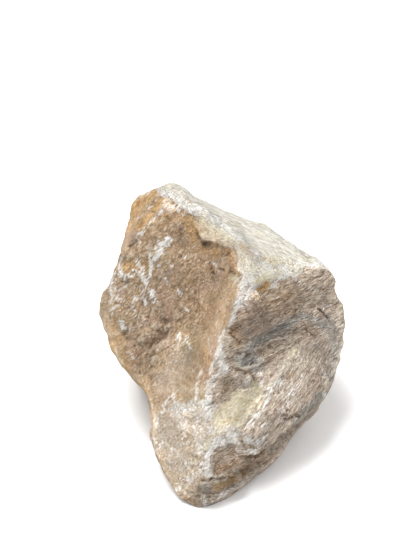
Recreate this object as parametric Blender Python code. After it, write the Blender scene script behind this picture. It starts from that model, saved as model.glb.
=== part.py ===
"""Honeycomb calcite specimen: one broken block of layered calcite, resting on its flat underside.

The block is the union of a few convex lumps, each the hull of its named corners. Scoops are cut
from it for the hollows and chip scars. Its skin is then broken up with bedding ledges, fracture
facets and lumps, and the underside is cut flat where the block rests.

Lengths are in millimetres until the last step, which scales the mesh to metres.
"""

import math

import bmesh
import bpy
from mathutils import Matrix, Vector, noise
from mathutils.bvhtree import BVHTree

NODE = "calcite_block"
MM = 0.001

# The front is drawn looking down at the block's front ridge at this angle. A drawn point is
# (across, up, out): across to the right, up along the drawing, out towards the viewer.
DRAWING_PITCH = math.radians(45.0)

# Bedding: the layers lie nearly level, dipping a little to the left and to the front.
BEDDING_NORMAL = Vector((0.22, -0.18, 0.96)).normalized()
LEDGE_SPACING = 13.0
LEDGE_DEPTH = 1.5

SKIN_VOXEL = 2.2  # grain of the skin before it is simplified
BASE_DEPTH = 4.0  # how far the lumps reach below the face that the block rests on
MOST_TRIANGLES = 8600
SWELL = 0.9  # what the skin adds, as the voxels round the corners off by about that
BREAK_SEED = 1795464436  # picks the way that each fracture facet tilts

# The corners of each lump as drawn, (across, up, out).
BODY_FRONT = {
    "peak": (-41, 243, 10),
    "peak_right": (-34, 243, 6),
    "peak_shoulder": (-64, 230, -18),
    "brow_left": (-67, 212, -22),
    "brow_high": (-50, 227, 7),
    "brow": (-60, 209, 0),
    "brow_low": (-68, 191, -7),
    "left_edge": (-83, 171, -15),
    "left_low": (-86, 133, -17),
    "left_hip": (-74, 112, 0),
    "waist_high": (-63, 100, 10),
    "waist": (-53, 88, 20),
    "ridge_low": (-10, 84, 54),
    "ridge_middle": (-5, 113, 64),
    "ridge": (4, 131, 69),
    "ridge_high": (11, 151, 73),
    "corner": (17, 172, 73),
    "rim_corner": (22, 188, 67),
    "shoulder": (79, 179, 19),
    "shoulder_low": (85, 169, 9),
    "right_high": (92, 146, -6),
    "right": (93, 132, -10),
    "right_low": (91, 112, -16),
    "hip": (82, 88, -24),
    "hip_low": (69, 70, -27),
    "keel_high": (58, 59, -24),
    "top_back_left": (-12, 229, 4),
    "top_back": (15, 218, 1),
    "top_back_middle": (28, 215, -8),
    "top_back_right": (46, 205, -5),
    "top_right": (59, 193, 3),
    "top_right_low": (70, 186, 11),
}
FOOT_FRONT = {
    "waist": (-54, 84, 16),
    "heel_high": (-52, 67, 13),
    "heel": (-48, 42, 7),
    "heel_low": (-42, 29, 3),
    "toe_left": (-32, 11, 2),
    "toe": (-18, -2, 2),
    "toe_right": (-9, 0, 2),
    "toe_corner": (7, 10, -3),
    "keel_low": (17, 18, -8),
    "keel": (40, 35, -16),
    "keel_high": (58, 59, -24),
    "shin_low": (-9, 27, 26),
    "shin": (-10, 50, 41),
    "knee": (-11, 82, 55),
    "knee_back": (10, 95, 40),
}
LOBE_FRONT = {
    "lobe_top": (-83, 168, -17),
    "lobe_high": (-89, 159, -22),
    "lobe": (-92, 151, -22),
    "lobe_low": (-90, 143, -22),
    "lobe_foot": (-85, 132, -20),
    "lobe_toe": (-81, 119, -12),
    "lobe_face_high": (-82, 155, -9),
    "lobe_face_low": (-81, 136, -8),
    "lobe_root_high": (-61, 155, -45),
    "lobe_root_low": (-61, 125, -45),
}
BELLY_FRONT = {
    "belly_crest_high": (52, 114, 21),
    "belly_crest": (36, 90, 27),
    "belly_crest_low": (25, 67, 30),
    "belly_tip": (16, 54, 33),
    "knuckle": (3, 55, 37),
    "belly_right_high": (73, 118, 2),
    "belly_right": (82, 99, -7),
    "belly_right_low": (78, 82, -9),
    "belly_brow_right": (61, 68, 2),
    "belly_brow": (39, 50, 12),
    "belly_brow_left": (28, 41, 17),
    "belly_foot": (19, 38, 18),
    "belly_root_right": (52, 88, -30),
    "belly_root": (31, 58, -22),
    "belly_root_left": (14, 80, -15),
}
TOE_FRONT = {
    "nub_left_high": (-26, 20, 10),
    "nub_top_left": (-16, 25, 22),
    "nub_top": (1, 26, 24),
    "nub_top_right": (14, 28, 15),
    "nub_right": (19, 18, 1),
    "nub_right_low": (6, 11, 3),
    "nub_toe_right": (-8, 2, 3),
    "nub_toe": (-18, 0, 3),
    "nub_left": (-29, 8, 3),
    "nub_root_left": (-12, 12, -20),
    "nub_root_right": (10, 22, -20),
}

# The corners behind and underneath, (across, away, height) of the block at rest.
BODY_BACK = {
    "back_left": (-73, 176, 90),
    "back_left_high": (-68, 169, 127),
    "back_left_low": (-53, 196, 45),
    "back_low": (-1, 206, 38),
    "back_right_low": (52, 180, 45),
    "back_right": (73, 150, 67),
    "back_right_high": (59, 155, 108),
    "back_high": (14, 172, 118),
    "back_peak": (-38, 184, 138),
    "base_right": (55, 88, -BASE_DEPTH),
    "base_back_right": (53, 142, -BASE_DEPTH),
    "base_back": (22, 177, -BASE_DEPTH),
    "base_back_left": (-31, 184, -BASE_DEPTH),
    "base_left": (-61, 150, -BASE_DEPTH),
    "base_waist": (-52, 112, -BASE_DEPTH),
}
FLANK_FRONT = {
    "flank_high": (-57, 98, 8),
    "flank": (-49, 86, 18),
    "flank_low": (-50, 68, 12),
    "flank_root_high": (-30, 100, 20),
    "flank_root_low": (-30, 60, 20),
}
FLANK_BACK = {
    "base_waist": (-52, 112, -BASE_DEPTH),
    "base_flank": (-48, 78, -BASE_DEPTH),
    "base_flank_root": (-20, 95, -BASE_DEPTH),
}
LOBE_BACK = {
    "lobe_back": (-83, 150, 82),
    "lobe_back_low": (-77, 163, 60),
}
FOOT_BACK = {
    "base_toe_left": (-25, 6, -BASE_DEPTH),
    "base_toe": (-5, 3, -BASE_DEPTH),
    "base_keel": (31, 46, -BASE_DEPTH),
    "base_right": (55, 88, -BASE_DEPTH),
    "base_back": (0, 120, -BASE_DEPTH),
    "base_waist": (-50, 100, -BASE_DEPTH),
    "base_heel": (-43, 45, -BASE_DEPTH),
}
LUMPS = {
    "body": (BODY_FRONT, BODY_BACK),
    "foot": (FOOT_FRONT, FOOT_BACK),
    "flank": (FLANK_FRONT, FLANK_BACK),
    "lobe": (LOBE_FRONT, LOBE_BACK),
    "belly": (BELLY_FRONT, {}),
    "toe_nub": (TOE_FRONT, {}),
}

# Hollows and chip scars: where their middle is drawn (across, up), the angle of their long axis
# in the drawing, half length, half width and depth.
SCOOPS = {
    "trough": ((-24, 138), 62, 60, 26, 9),
    "shade_valley": ((46, 130), 30, 42, 22, 7),
    "pocket": ((21, 110), 30, 17, 12, 7),
    "crest_hollow": ((6, 94), 60, 12, 7, 3),
    "chip_scar": ((5, 36), 20, 16, 10, 5),
    "crest_notch": ((9, 132), 160, 9, 5, 4),
    "back_edge_dip": ((1, 226.5), -25, 34, 24, 5),
    "back_edge_notch": ((54, 198), -35, 8, 9, 3),
}

# Steps in the front faces, each a drawn line (across, up). Walking along it from its first point,
# the skin on the right lies lower, by so much, and comes level again so far away.
RIM_LEDGE = ((-26, 232), (-21, 224), (-16, 214), (-14, 200), (-5, 195), (11, 194), (17, 184), (17, 168))
CRUST_EDGE = ((-24, 172), (-27, 159), (-32, 146), (-46, 129), (-61, 101))
STEPS = ((RIM_LEDGE, 5.0, 26.0), (CRUST_EDGE, 4.5, 24.0))
STEP_LIP = 1.5  # the width of a step's steep part
STEP_END = 14.0  # how far from its ends a step dies out


def at_rest(across, up, out):
    """The place at rest, (across, away, height), of a drawn point."""
    sine, cosine = math.sin(DRAWING_PITCH), math.cos(DRAWING_PITCH)
    return Vector((across, up * sine - out * cosine, up * cosine + out * sine))


def as_drawn(point):
    """The drawn point, (across, up, out), of a place at rest."""
    sine, cosine = math.sin(DRAWING_PITCH), math.cos(DRAWING_PITCH)
    return Vector((point.x, point.y * sine + point.z * cosine, point.z * sine - point.y * cosine))


def clear_scene():
    for obj in list(bpy.data.objects):
        bpy.data.objects.remove(obj)


def object_from(bm, name):
    mesh = bpy.data.meshes.new(name)
    bm.to_mesh(mesh)
    bm.free()
    obj = bpy.data.objects.new(name, mesh)
    bpy.context.scene.collection.objects.link(obj)
    return obj


def as_cutter(obj):
    obj.hide_render = True
    obj.display_type = "WIRE"
    return obj


def lump(name, front, back):
    """The convex hull of a lump's corners."""
    bm = bmesh.new()
    for corner in front.values():
        bm.verts.new(at_rest(*corner))
    for corner in back.values():
        bm.verts.new(corner)
    made = bmesh.ops.convex_hull(bm, input=bm.verts)
    inside = {item for key in ("geom_interior", "geom_unused") for item in made[key]}
    spare = [item for item in inside if isinstance(item, bmesh.types.BMVert)]
    bmesh.ops.delete(bm, geom=spare, context="VERTS")
    bmesh.ops.recalc_face_normals(bm, faces=bm.faces)
    return object_from(bm, name)


def scoop(name, surface, middle, turn, half_length, half_width, depth):
    """An ellipsoid that bites depth deep into the surface under a drawn point."""
    out = at_rest(0, 0, 1)
    start = at_rest(*middle, 300)
    spot, normal, _, _ = surface.ray_cast(start, -out)
    along = at_rest(math.cos(math.radians(turn)), math.sin(math.radians(turn)), 0)
    along = (along - normal * along.dot(normal)).normalized()
    side = normal.cross(along)
    bite = 3.0  # the ellipsoid's half height over its bite
    spread = 1 / math.sqrt(1 - ((bite - 1) / bite) ** 2)
    centre = spot + normal * depth * (bite - 1)
    size = Matrix.Diagonal((half_length * spread, half_width * spread, depth * bite, 1))
    turned = Matrix((along, side, normal)).transposed().to_4x4()
    bm = bmesh.new()
    bmesh.ops.create_icosphere(bm, subdivisions=4, radius=1)
    bm.transform(Matrix.Translation(centre) @ turned @ size)
    return as_cutter(object_from(bm, name))


def add_boolean(obj, operation, other):
    modifier = obj.modifiers.new(other.name, "BOOLEAN")
    modifier.operation = operation
    modifier.solver = "MANIFOLD"
    modifier.object = other


def bake(obj):
    """Replaces the object's mesh by what its modifiers make of it."""
    graph = bpy.context.evaluated_depsgraph_get()
    mesh = bpy.data.meshes.new_from_object(obj.evaluated_get(graph))
    obj.modifiers.clear()
    obj.data = mesh


def build_block():
    """The union of the lumps, less the scoops."""
    lumps = [lump(name, *corners) for name, corners in LUMPS.items()]
    block = lumps[0]
    block.name = NODE
    for other in lumps[1:]:
        add_boolean(block, "UNION", as_cutter(other))
    bake(block)
    surface = BVHTree.FromObject(block, bpy.context.evaluated_depsgraph_get())
    for name, sizes in SCOOPS.items():
        add_boolean(block, "DIFFERENCE", scoop(name, surface, *sizes))
    bake(block)
    return block


def ledges(point, normal):
    """Bedding ledges: each layer's edge stands a little proud of the one below."""
    warp = 5.0 * noise.noise(point / 34.0)
    layer = (point.dot(BEDDING_NORMAL) + warp) / LEDGE_SPACING
    within = layer - math.floor(layer)
    reach = 0.5 + 0.5 * noise.noise(Vector((math.floor(layer) * 7.3, 0, 0)) + point / 60.0)
    steepness = 1 - abs(normal.dot(BEDDING_NORMAL)) ** 2
    return LEDGE_DEPTH * steepness * reach * (within**2 - 0.4)


def facets(point, size, depth):
    """Flat fracture facets: each cell of the pattern is a small tilted plane."""
    _, points = noise.voronoi(point / size)
    cell = points[0]
    tilt = noise.noise_vector(cell * 3.7)
    return depth * tilt.dot(point / size - cell) * 2


def side_of(line, spot):
    """How far a drawn spot is from a line, positive on its right, and from the line's nearer end."""
    nearest = None
    for start, end in zip(line, line[1:]):
        start, end = Vector(start), Vector(end)
        run = end - start
        along = (spot - start).dot(run) / run.length_squared
        away = spot - start - run * min(max(along, 0), 1)
        side = 1 if run.x * away.y - run.y * away.x < 0 else -1
        if nearest is None or away.length < abs(nearest):
            nearest = side * away.length
    to_end = min((spot - Vector(line[0])).length, (spot - Vector(line[-1])).length)
    return nearest, to_end


def steps(point, normal):
    """The steps across the faces that look to the front."""
    if as_drawn(normal).z < 0.3:
        return 0
    relief = 0
    for line, depth, reach in STEPS:
        side, to_end = side_of(line, as_drawn(point).xy)
        if 0 < side < reach:
            drop = depth * (1 - side / reach) ** 1.5
            relief -= drop * min(side / STEP_LIP, 1) * min(to_end / STEP_END, 1)
    return relief


def lumps_of(point):
    return 2.6 * noise.fractal(point / 42.0, 1.0, 2.0, 5)


def break_skin(obj):
    """Moves each point of the skin along its normal by the relief at that point."""
    mesh = obj.data
    moved = []
    for vertex in mesh.vertices:
        point, normal = vertex.co.copy(), vertex.normal
        relief = lumps_of(point) + ledges(point, normal) + steps(point, normal)
        relief += facets(point, 17.0, 1.3) + facets(point, 8.0, 0.5) + SWELL
        moved.append(point + normal * relief)
    for vertex, place in zip(mesh.vertices, moved):
        vertex.co = place


def add_skin(obj):
    modifier = obj.modifiers.new("skin", "REMESH")
    modifier.mode = "VOXEL"
    modifier.voxel_size = SKIN_VOXEL
    bake(obj)


def simplify(obj):
    obj.data.calc_loop_triangles()
    modifier = obj.modifiers.new("simplify", "DECIMATE")
    modifier.ratio = MOST_TRIANGLES / len(obj.data.loop_triangles)
    bake(obj)


def cut_base(obj):
    """Cuts the block flat at height 0 and closes the cut with one face."""
    bm = bmesh.new()
    bm.from_mesh(obj.data)
    cut = bmesh.ops.bisect_plane(
        bm,
        geom=bm.verts[:] + bm.edges[:] + bm.faces[:],
        plane_co=(0, 0, 0),
        plane_no=(0, 0, 1),
        clear_inner=True,
    )
    rim = [item for item in cut["geom_cut"] if isinstance(item, bmesh.types.BMEdge)]
    bmesh.ops.holes_fill(bm, edges=rim)
    bmesh.ops.triangulate(bm, faces=bm.faces)
    bmesh.ops.recalc_face_normals(bm, faces=bm.faces)
    bm.to_mesh(obj.data)
    bm.free()


def centre_on_base(obj):
    """Puts the origin under the middle of the block and scales the mesh to metres."""
    places = [vertex.co for vertex in obj.data.vertices]
    low = Vector([min(place[i] for place in places) for i in range(3)])
    high = Vector([max(place[i] for place in places) for i in range(3)])
    middle = (low + high) / 2
    shift = Vector((-middle.x, -middle.y, -low.z))
    obj.data.transform(Matrix.Scale(MM, 4) @ Matrix.Translation(shift))


def finish_material(obj):
    material = bpy.data.materials.new("calcite")
    material.use_nodes = True
    shader = material.node_tree.nodes["Principled BSDF"]
    shader.inputs["Base Color"].default_value = (0.50, 0.38, 0.26, 1)
    shader.inputs["Roughness"].default_value = 0.8
    obj.data.materials.clear()
    obj.data.materials.append(material)


clear_scene()
noise.seed_set(BREAK_SEED)
block = build_block()
add_skin(block)
break_skin(block)
simplify(block)
cut_base(block)
centre_on_base(block)
finish_material(block)
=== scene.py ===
"""Looks of the honeycomb calcite specimen: a fine stone skin that stands for the CAD block.

The skin starts from the block's own mesh. It is remeshed finely, its facets are eased, and relief
is added in code: fibres on the broken faces, a rough crust on the tan face, and the named steps,
cracks and pits. Named strokes also mark where each kind of stone shows, as attributes of the mesh,
and the material turns them into colour, roughness and grain. Some strokes, the hollows and the
faces that look down also carry painted light and shade in the colour.

Named places are drawn in millimetres, (across, up), as seen along the camera's direction. A line
of them is written "across,up across,up".
"""

import math

import bmesh
import bpy
import numpy as np
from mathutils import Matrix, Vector, noise


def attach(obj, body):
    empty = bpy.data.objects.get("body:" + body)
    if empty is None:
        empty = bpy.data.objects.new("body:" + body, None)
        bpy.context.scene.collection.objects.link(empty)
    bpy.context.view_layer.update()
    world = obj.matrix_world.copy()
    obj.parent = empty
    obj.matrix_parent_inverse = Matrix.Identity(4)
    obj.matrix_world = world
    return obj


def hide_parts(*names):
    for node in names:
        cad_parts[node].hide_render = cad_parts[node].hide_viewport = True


NODE = "calcite_block"
MM = 0.001

PITCH = math.radians(45.0)  # the camera looks down at this angle
ORIGIN = np.array((0.275, -103.055, 0.0))  # the drawing's origin, in the frame, in mm
LOOK_AT = (-9.75, 172.1)  # the drawn point at the middle of the view
DISTANCE = 3000.0  # from the camera to the plane that it looks at, in mm
VIEW_HEIGHT = 416.25  # how much of the drawing the view's height shows, in mm

VOXEL = 0.00134  # how fine the skin is, in metres
EASE_ROUNDS = 5  # rounds of averaging that ease the block's facets
BROAD_ROUNDS = 8  # and that give the way that a whole face looks
NEAR_ROUNDS, WIDE_ROUNDS = 4, 22  # and that tell small edges and hollows, and wide ones
SEED = 5  # picks the way that each fracture facet tilts

# The ways that the grain runs: of the tan crust, and of the fibres of the broken faces, the belly
# and the top.
CRUST_GRAIN = Vector((0.608, 0.142, 0.780)).normalized()
FIBRES = Vector((0.781, 0.622, -0.059)).normalized()
BELLY_FIBRES = Vector((0.633, 0.657, 0.410)).normalized()
TOP_FIBRES = Vector((0.891, -0.347, -0.295)).normalized()

# Which kind of stone a face is made of, by the way that it looks: (kind, direction). The under
# kind, on faces that look down, is a darker copy of the fibres: painted shade.
FACES = (
    ("crust", (-0.66, -0.46, 0.60)),
    ("crust", (-0.72, -0.62, 0.05)),
    ("crust", (-0.80, -0.30, -0.45)),
    ("cream", (0.42, 0.38, 0.83)),
    ("fibre", (0.61, -0.75, 0.26)),
    ("fibre", (0.25, -0.80, 0.55)),
    ("under", (0.45, -0.62, -0.60)),
    ("fibre", (0.90, 0.40, -0.10)),
    ("fibre", (0.05, 0.98, 0.10)),
    ("crust", (-0.80, 0.60, 0.10)),
    ("under", (0.00, 0.50, -0.86)),
)
FACE_SHARPNESS = 16.0  # how abruptly one kind of stone gives way to the next
FOOTING = 0.4  # the skin below this height, in mm, is the flat foot
SWELL = 0.5  # what the relief adds everywhere, in mm, for what the easing takes off

# Relief of the broken faces: the fibres' size across, their length and their height.
FIBRE_RELIEF = ((2.2, 12, 0.8), (6.5, 30, 1.2))
# Fracture facets: their size, their depth and what scatters their tilts.
FIBRE_BREAKS = ((6.0, 0.8, 3.7), (2.8, 0.45, 5.1))
CRUST_BREAKS = ((7.0, 0.6, 3.7), (3.2, 0.35, 5.1))
HIDDEN_BREAKS = ((24.0, 3.6, 7.3),)

# The studio, in metres and watts: the lamps' names, places, sizes and powers.
LAMPS = (("softbox", (-0.5, 0.1, 2.3), 1.1, 72), ("fill", (1.6, -1.8, 1.2), 1.8, 9))
LAMPS_AIM = Vector((0, 0, 0.08))
FLOOR_REACH = 6.0
SKY_STRENGTH = 0.95
EXPOSURE = 1.5  # how much brighter than white paint the studio shows a white surface

# Stains, as strokes: each is a line, its width and how densely it covers the stone.
CHALK = dict(
    rim_back=("-46,239 -44,235 -36,234 -31,229", 4.5, 0.9),
    rim_middle=("-34,232 -26,226 -19,221", 5, 0.85),
    rim_mottle=("-41,231 -34,226 -28,221", 7, 0.5),
    rim_front=("-26,229 -14,222 -2,213 10,203 20,196 28,188", 3, 0.95),
    corner=("31,183 36,179", 3.5, 1.2),
    corner_right=("46,180 50,176", 3, 1.2),
    corner_edge=("40,170 47,173 52,175 57,170", 2, 0.95),
    corner_line=("59,168 66,165 71,162", 2.5, 0.5),
    corner_under=("37,165 41,167", 3.5, 0.85),
    ridge_top=("17,168 15,160 13,152", 5, 1),
    ridge_top_right=("21,165 20,159 17,154", 5, 0.8),
    ridge_upper=("12,151 9,142 7,137", 2.2, 1.2),
    ridge_middle=("5,134 0,127 0,123", 3, 0.8),
    ridge_loop=("-8,126 -8,119 -6,112", 2, 0.6),
    ridge_chip_top=("-1,127 0,123 -2,116", 3, 1),
    ridge_chip=("-1,114 1,107 2,103", 7, 0.95),
    ridge_chip_low=("-3,99 -6,97", 4, 0.7),
    ridge_vein=("-6,108 -8,101", 2, 0.9),
    ridge_lower=("-8,93 -10,86 -10,79", 5, 0.9),
    knee=("-30,73 -23,76 -15,77 -8,75", 8, 0.7),
    knee_right=("-8,73 -10,67", 5, 1),
    knee_dust=("-36,75 -31,73", 7.5, 0.5),
    knee_left=("-38,83 -42,76 -45,69 -48,62", 2.5, 0.75),
    knee_vein=("-33,87 -35,84 -34,79 -34,74", 2, 0.8),
    vein=("-14,103 -17,96 -18,89 -19,81", 2, 1),
    tongue=("-29,68 -29,58 -27,50", 7, 0.5),
    tongue_two=("-19,73 -20,59", 5, 0.4),
    shin=("-16,67 -16,58 -17,50 -15,41 -12,35", 9, 0.5),
    shin_right=("-10,34 -9,24", 4, 1),
    foot=("-27,19 -21,21 -15,27 -11,33", 8, 0.7),
    foot_left=("-33,17 -29,12", 4.5, 0.5),
    scar_rim=("-10,24 -10,35 -7,43 0,48 8,50", 4, 1.2),
    knuckle=("-4,46 4,51 12,52", 9, 0.95),
    knuckle_top=("8,58 11,57", 5, 0.8),
    knuckle_right=("17,51 23,48 30,49", 8, 0.7),
    brow_tip=("14,43 20,41 27,42", 5, 0.9),
    heel_flecks=("-50,52 -48,49", 2.5, 0.7),
    heel_dust=("-47,46 -43,42", 7.5, 0.45),
    heel_dust_two=("-30,46 -34,42 -37,35", 5, 0.45),
    heel_dust_three=("-26,33 -24,31", 3, 0.7),
    toe_dust=("-38,29 -38,24", 3, 0.5),
    toe_cream=("-34,15 -30,10 -25,9", 4.5, 0.55),
    toe_top=("-13,8 -12,2 -10,1", 2.5, 0.9),
    sole_lip=("-7,21 2,23", 2, 0.7),
    sole=("-3,7 4,11", 3, 0.5),
    belly_crest=("34,85 38,90 43,94", 6, 0.5),
    belly_fleck=("30,61 33,63", 2, 0.8),
    belly_flecks=("49,78 50,75", 3.5, 0.7),
    belly_light=("42,92 47,95", 5, 0.6),
    pocket_below=("29,100 30,91", 4.5, 0.6),
    pocket_side=("27,112 29,110", 3.5, 0.6),
    pocket_top=("20,119 25,120", 2, 0.5),
    right_edge=("76,85 79,82", 3.5, 0.7),
    right_light=("77,149 81,151", 3.5, 0.5),
    right_fleck=("44,125 49,128", 2.5, 0.6),
    amber_top=("13,91 22,86", 4.5, 0.5),
    band_one=("-46,234 -50,228 -55,222 -61,216", 2, 0.45),
    band_two=("-42,224 -47,220 -50,216 -55,210 -61,204", 3, 0.65),
    band_left=("-64,216 -69,211", 2, 0.5),
    a_patch=("-39,201 -42,197 -46,192 -49,187", 4.5, 1.1),
    a_patch_side=("-46,197 -48,193", 4.5, 0.9),
    a_tail=("-49,187 -51,183 -53,178 -54,172", 2.4, 0.9),
    a_tail_side=("-53,193 -54,183", 2.5, 0.55),
    a_tail_right=("-48,179 -46,181", 3, 0.7),
    a_spot_top=("-63,202 -61,199 -62,196", 3, 0.8),
    a_jag=("-76,182 -74,179 -75,174 -72,170 -71,165", 2.5, 0.9),
    a_jag_bridge=("-75,173 -69,173 -65,174 -64,177", 3, 1),
    a_jag_right=("-62,183 -59,180 -59,174 -56,170 -56,166", 4, 0.8),
    a_low=("-58,164 -58,156 -56,152", 3, 0.8),
    a_low_patch=("-52,162 -52,158 -50,154", 5, 0.75),
    a_left=("-77,164 -79,157 -80,150", 7.5, 0.55),
    a_left_top=("-80,173 -81,168 -83,165", 4, 0.5),
    a_ring=("-64,157 -62,155", 2, 0.8),
    a_spot=("-75,139 -73,134", 3.5, 1),
    a_spot_low=("-70,134 -67,132", 2, 0.7),
    a_faint=("-66,150 -63,145 -63,139", 4, 0.5),
    a_fleck_one=("-32,163 -30,159", 2.2, 0.8),
    a_fleck_two=("-26,149 -25,147", 2, 0.75),
    a_fleck_three=("-34,188 -31,188", 2, 0.8),
    a_fleck_four=("-40,183 -36,180", 2, 0.7),
    a_fleck_five=("-24,189 -27,187", 2, 0.6),
    a_fleck_six=("-6,183 -3,181", 2, 0.8),
    a_fleck_seven=("-42,172 -40,168", 4.5, 0.45),
    flecks=("-30,130 -32,124", 3, 0.75),
    flecks_right=("-25,127 -27,122", 2.5, 0.7),
    flecks_left=("-37,120 -36,122", 2, 0.7),
    flecks_far=("-24,122 -22,118", 2, 0.7),
    flecks_low=("-36,115 -34,108", 3, 0.5),
    flecks_side=("-67,114 -64,108", 4, 0.6),
    corner_left=("18,172 23,167 24,160", 7, 0.7),
    knee_wide=("-40,68 -26,70 -12,70", 22, 0.28),
    heel_wide=("-46,48 -36,36 -26,24", 20, 0.28),
    shin_wide=("-20,66 -18,48 -16,32", 16, 0.32),
    belly_wide=("30,92 46,88 60,96", 22, 0.34),
    belly_low_wide=("24,62 36,66 48,76", 16, 0.34),
    a_wide=("-76,168 -64,160 -52,156", 22, 0.15),
    a_wide_low=("-70,146 -60,140", 16, 0.3),
    top_wide=("-34,231 -14,221 6,208", 12, 0.25),
    left_line=("-73,188 -78,179 -81,171 -82,160 -81,150 -82,143", 1.8, 0.8),
    belly_streak=("48,82 54,88", 4, 0.65),
    sole_band=("-10,3 2,10 14,19 22,25", 3, 0.55),
    belly_crest_low=("18,59 24,67 31,74 35,81", 2, 0.85),
    facet_top=("-57,233 -52,237 -47,239", 2, 0.7),
    a_patch_soft=("-40,201 -46,193 -51,185", 9, 0.3),
    amber_foot=("-8,58 2,59 10,57", 6, 0.75),
    shoulder=("56,184 74,181", 6, 0.6),
    heel_tick=("-36,45 -37,40 -38,34", 2, 0.8),
    heel_tick_two=("-44,50 -47,44", 2, 0.8),
    corner_lace=("23,163 28,158 33,160", 2, 0.9),
)
RUST = dict(
    facet=("-50,237 -57,231 -63,225 -65,218 -67,213", 10, 1),
    facet_two=("-43,230 -48,225 -55,215 -61,209", 5, 1.1),
    left_edge=("-75,190 -79,182", 4, 0.8),
    ledge_top=("-42,218 -36,216 -29,218 -23,217", 6, 0.7),
    ledge=("-15,193 -4,191", 7.5, 0.9),
    ridge_top=("9,193 8,186", 6, 0.8),
    ridge=("8,173 3,161 -1,150 -4,136 -4,123", 7, 0.1),
    ridge_low=("-10,119 -11,111 -8,105", 3, 0.8),
    jag=("-73,181 -57,181", 8, 0.85),
    left=("-82,122 -79,114 -71,105 -62,93 -55,86", 5, 0.9),
    heel=("-53,80 -52,67 -50,55", 4, 0.8),
    heel_top=("-55,93 -46,92", 9, 0.4),
    corner=("27,160 31,163 34,167", 6, 1.5),
    corner_top=("16,195 24,191", 6, 0.85),
    nook=("6,133 13,134", 4.5, 0.5),
    scar=("-1,29 7,31 11,34", 4, 0.6),
    ochre=("-4,15 6,20 18,25", 6, 1),
    wedge=("-5,70 -1,73 5,80", 3.5, 0.7),
    red=("14,52 17,46 18,42", 3, 0.9),
    wedge_face=("5,143 8,132 13,123", 9, 0.6),
    fibres=("34,168 50,163 52,150 40,150", 14, 0.5),
    chip_low=("4,98 4,87", 6, 0.55),
    rim_tan=("-21,215 -17,207 -8,199", 8, 0.95),
    ledge_side=("-27,216 -23,208 -18,200", 7, 0.9),
    left_face=("-82,136 -74,126", 8, 0.55),
    left_bevel=("-87,158 -86,144", 4, 0.5),
    rim_facet=("-17,214 -10,206 -2,201", 9, 0.9),
    rim_top=("-38,228 -28,220 -20,214", 9, 0.15),
    shoulder=("54,174 70,167 84,168", 7, 0.38),
    rim_low=("-10,199 8,197", 5, 0.95),
    facet_edge=("-60,230 -66,220 -70,207", 4, 0.8),
)
AMBER = dict(
    patch=("13,81 10,76 3,69 -1,64", 13, 1),
    patch_right=("27,88 22,80 16,71 11,65", 10, 1),
    rim=("-14,214 -7,209 0,205 8,200", 10, 0.58),
    rim_low=("-12,205 -4,204", 5, 0.6),
    corner=("25,168 32,172 37,171", 5, 0.9),
    corner_two=("32,185 44,183", 7, 0.7),
    far=("51,184 59,181", 7.5, 0.5),
    knuckle=("-7,53 -10,45", 5, 0.7),
    shin=("-22,34 -18,35", 4, 0.6),
    toe=("-36,16 -31,13 -25,12", 4.5, 0.2),
    belly_cream=("48,104 51,111 54,117", 7, 0.55),
    belly_cream_two=("59,107 64,109", 4, 0.5),
    tip=("-44,240 -36,237", 6, 0.5),
    corner_wide=("17,188 26,180 44,177", 12, 0.45),
    wedge=("4,126 9,117", 6, 0.35),
    ridge_head=("10,171 15,170", 5, 0.6),
)
SLATE = dict(
    pocket=("15,110 21,111 26,107", 9, 1.3),
    pocket_top=("13,116 21,119", 5, 0.6),
    pebble=("18,94 20,96", 4.5, 1.4),
    pebble_two=("13,99 14,99", 4, 0.6),
    band=("22,121 33,128 45,135 60,143", 7, 0.88),
    band_low=("31,122 44,130 51,133", 6, 0.5),
    right=("66,133 70,130", 6, 0.6),
    right_low=("67,122 75,124", 7.5, 0.35),
    lower_right=("64,76 70,80", 10.5, 0.5),
    lower=("41,94 43,96", 5, 0.6),
    toe=("-20,6 -14,9", 6, 0.45),
    toe_block=("-12,17 -5,18", 7, 0.4),
    a_middle=("-38,178 -42,173", 8, 0.4),
    lower_edge=("56,64 66,74 76,84", 8, 0.7),
    right_side=("80,140 86,120 80,100", 14, 0.6),
    right_upper=("66,142 80,135", 8, 0.7),
    under_edge=("36,41 50,56", 6, 0.4),
    belly_low=("42,58 58,74", 9, 0.35),
)
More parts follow.
